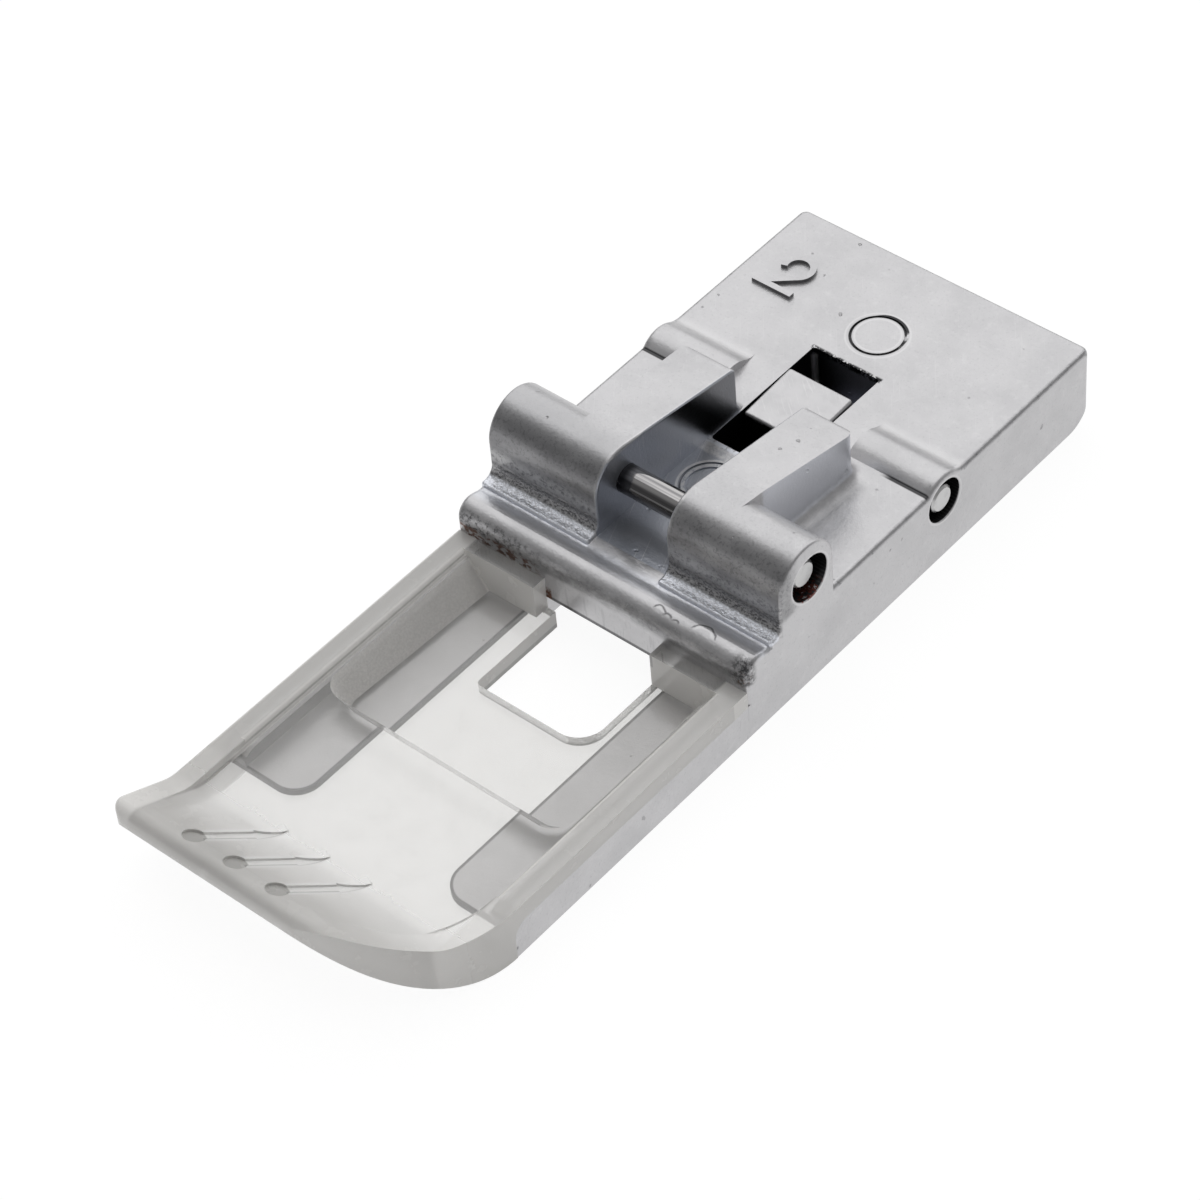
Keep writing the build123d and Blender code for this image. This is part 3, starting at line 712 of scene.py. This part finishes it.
# %% Clear plastic
def clear_plastic():
    material, start = new_material("clear_plastic")
    where = Where(start)
    haze = noise(where.place, 0.5, 4, 0.6)
    ripple = noise(where.place, 0.22, 2, 0.5)
    frost = noise(where.place, 6.0, 3, 0.7).between(0.35, 0.7)
    marks, fills = needle_marks(where)
    upright = where.up.between(0.75, 0.35)
    front = where.y.between(-30.5, -37.5)
    rim = where.side.between(10.2, 10.5)
    pocket = upright * band(where.side, 8.4, 10.2, 0.2) * band(where.y, -22, -8.3, 0.4)
    opening = band(where.x, -4.2, 5.3, 0.05) * where.y.between(-14.5, -14.4) * upright
    edge_lines = opening * (where.z.between(0.5, 0.25) + where.z.between(2.9, 3.2))
    rear = upright * band(where.y, -7.8, -6.2, 0.1)
    rear = rear.maths("MAXIMUM", rear, upright * band(where.x, -4.2, -3.7, 0.05))
    milk = upright * 0.25 + front * 0.35 + rim * 0.35 + pocket * frost * 0.15 + haze * 0.06 + 0.2
    milk = milk + marks * 0.4 + fills * 0.15 + rear * 0.42 + edge_lines * 0.35
    milk = milk + where.edge * where.y.between(-30, -29) * 0.3
    white_milk = mix_colour(haze, (0.93, 0.915, 0.89, 1), (0.83, 0.815, 0.79, 1))
    # A painted highlight: the pale fill beside the marks' lines.
    white_milk = mix_colour(fills, white_milk, (0.97, 0.965, 0.95, 1))
    # Painted shade: dark streaks on the front's upward faces, the marks' grey lines and eyes, and grey
    # lines along the window's edges.
    streaks = noise(stretched(where.place, (0.12, 0.35, 0.5)), 1, 3, 0.5).between(0.35, 0.75)
    white_milk = mix_colour(front * streaks * where.up * 0.35, white_milk, (0.46, 0.455, 0.43, 1))
    white_milk = mix_colour(marks, white_milk, (0.36, 0.355, 0.34, 1))
    white_milk = mix_colour(edge_lines * 0.6, white_milk, (0.35, 0.35, 0.35, 1))
    clear = {
        "Base Color": (0.975, 0.97, 0.96, 1),
        "Roughness": haze.between(0.5, 0.8) * 0.1 + 0.05 + where.y.between(-29.5, -32.5) * 0.25,
        "IOR": 1.5,
        "Transmission Weight": 1.0,
        "Normal": bump(ripple, 0.000015),
    }
    milky = {
        "Base Color": white_milk,
        "Roughness": haze.between(0.5, 0.8) * 0.1 + 0.25,
        "IOR": 1.5,
        "Normal": bump(ripple, 0.00003),
    }
    clear = start.node("ShaderNodeBsdfPrincipled", {}, clear)
    milky = start.node("ShaderNodeBsdfPrincipled", {}, milky)
    mixed = start.node("ShaderNodeMixShader", {}, {0: milk, 1: clear, 2: milky})
    finish_material(start, mixed)
    return material


print("plastic ready")

# %% [markdown]
# ## The toe sits tight on its fork
# In the CAD model the toe and the casting share faces. Light can't tell which of two faces in
# one place comes first, so the piece that is shown is a merged copy of the CAD mesh, grown by a
# few hundredths of a millimetre. Its hidden faces then lie just inside the metal, as if bonded.


# %% A grown copy of the toe
weld_distance = 0.002 * mm
soft_angle = math.radians(25)


def merged_copy(node, name):
    mesh = node.data.copy()
    mesh.name = name
    shape = bmesh.new()
    shape.from_mesh(mesh)
    bmesh.ops.remove_doubles(shape, verts=shape.verts, dist=weld_distance)
    bmesh.ops.dissolve_degenerate(shape, edges=shape.edges, dist=weld_distance)
    bmesh.ops.recalc_face_normals(shape, faces=shape.faces)
    for face in shape.faces:
        face.smooth = True
    for edge in shape.edges:
        edge.smooth = edge.calc_face_angle(math.pi) < soft_angle
    shape.to_mesh(mesh)
    shape.free()
    piece = bpy.data.objects.new(name, mesh)
    bpy.context.scene.collection.objects.link(piece)
    return piece


contact_depth = 0.04 * mm
toe = merged_copy(nodes["clear_toe"], "toe_moulding")
grow = toe.modifiers.new("grow", "DISPLACE")
grow.mid_level = 0.0
grow.strength = contact_depth
toe.modifiers.new("even_shading", "WEIGHTED_NORMAL").keep_sharp = True
toe.data.materials.clear()
toe.data.materials.append(clear_plastic())
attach(toe, "foot")
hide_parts("clear_toe")
print("toe faces:", len(toe.data.polygons))

# %% [markdown]
# ## Floor, world and lamp
# The part lies on a white sweep under one large soft lamp, behind it to the left, in a pale room.
# The floor shows as white to the camera, in reflections and through the plastic, and part of it
# stays plain diffuse, so that it keeps the part's shadow.


# %% The floor
floor_white = 0.85
floor_glow = 1.08


def seen_directly(start):
    kinds = ("Is Camera Ray", "Is Glossy Ray", "Is Transmission Ray")
    path = start.node("ShaderNodeLightPath", {}, {})
    outputs = path.socket.node.outputs
    rays = [Wire(start.tree, outputs[kind]) for kind in kinds]
    return rays[0].maths("MAXIMUM", rays[0], rays[1].maths("MAXIMUM", rays[1], rays[2]))


def white_floor():
    material, start = new_material("white_floor")
    plain = start.node("ShaderNodeBsdfDiffuse", {}, {"Color": (0.9, 0.9, 0.9, 1)})
    white = start.node("ShaderNodeEmission", {}, {"Color": (1, 1, 1, 1), "Strength": floor_glow})
    inputs = {0: seen_directly(start) * floor_white, 1: plain, 2: white}
    finish_material(start, start.node("ShaderNodeMixShader", {}, inputs))
    return material


floor_half = 1.5
floor_gap = 0.06 * mm
shape = bmesh.new()
lift = Matrix.Translation((0, 0, -floor_gap))
bmesh.ops.create_grid(shape, x_segments=1, y_segments=1, size=floor_half, matrix=lift)
floor_mesh = bpy.data.meshes.new("floor")
shape.to_mesh(floor_mesh)
shape.free()
floor = bpy.data.objects.new("floor", floor_mesh)
bpy.context.scene.collection.objects.link(floor)
floor_mesh.materials.append(white_floor())
print("floor done")

# %% The world
ambient = 0.33
world = bpy.data.worlds.new("world")
bpy.context.scene.world = world
world.use_nodes = True
world.node_tree.nodes.clear()
sky = Wire(world.node_tree)
background = sky.node("ShaderNodeBackground", {}, {"Color": (1, 1, 1, 1), "Strength": ambient})
sky.node("ShaderNodeOutputWorld", {}, {"Surface": background})
print("world done")


# %% The lamp
lamp_place = (-0.75, 0.95, 0.9)
lamp_size = 2.6
lamp_radiance = 0.93
lamp_lean = math.radians(20)


def softbox(name, place, size, radiance, lean):
    data = bpy.data.lights.new(name, "AREA")
    data.shape = "SQUARE"
    data.size = size
    data.energy = radiance * math.pi * size**2
    lamp = bpy.data.objects.new(name, data)
    lamp.location = Vector(place)
    lamp.rotation_euler = (-lean, 0, 0)
    bpy.context.scene.collection.objects.link(lamp)
    return lamp


softbox("softbox", lamp_place, lamp_size, lamp_radiance, lamp_lean)
print("lamp done")
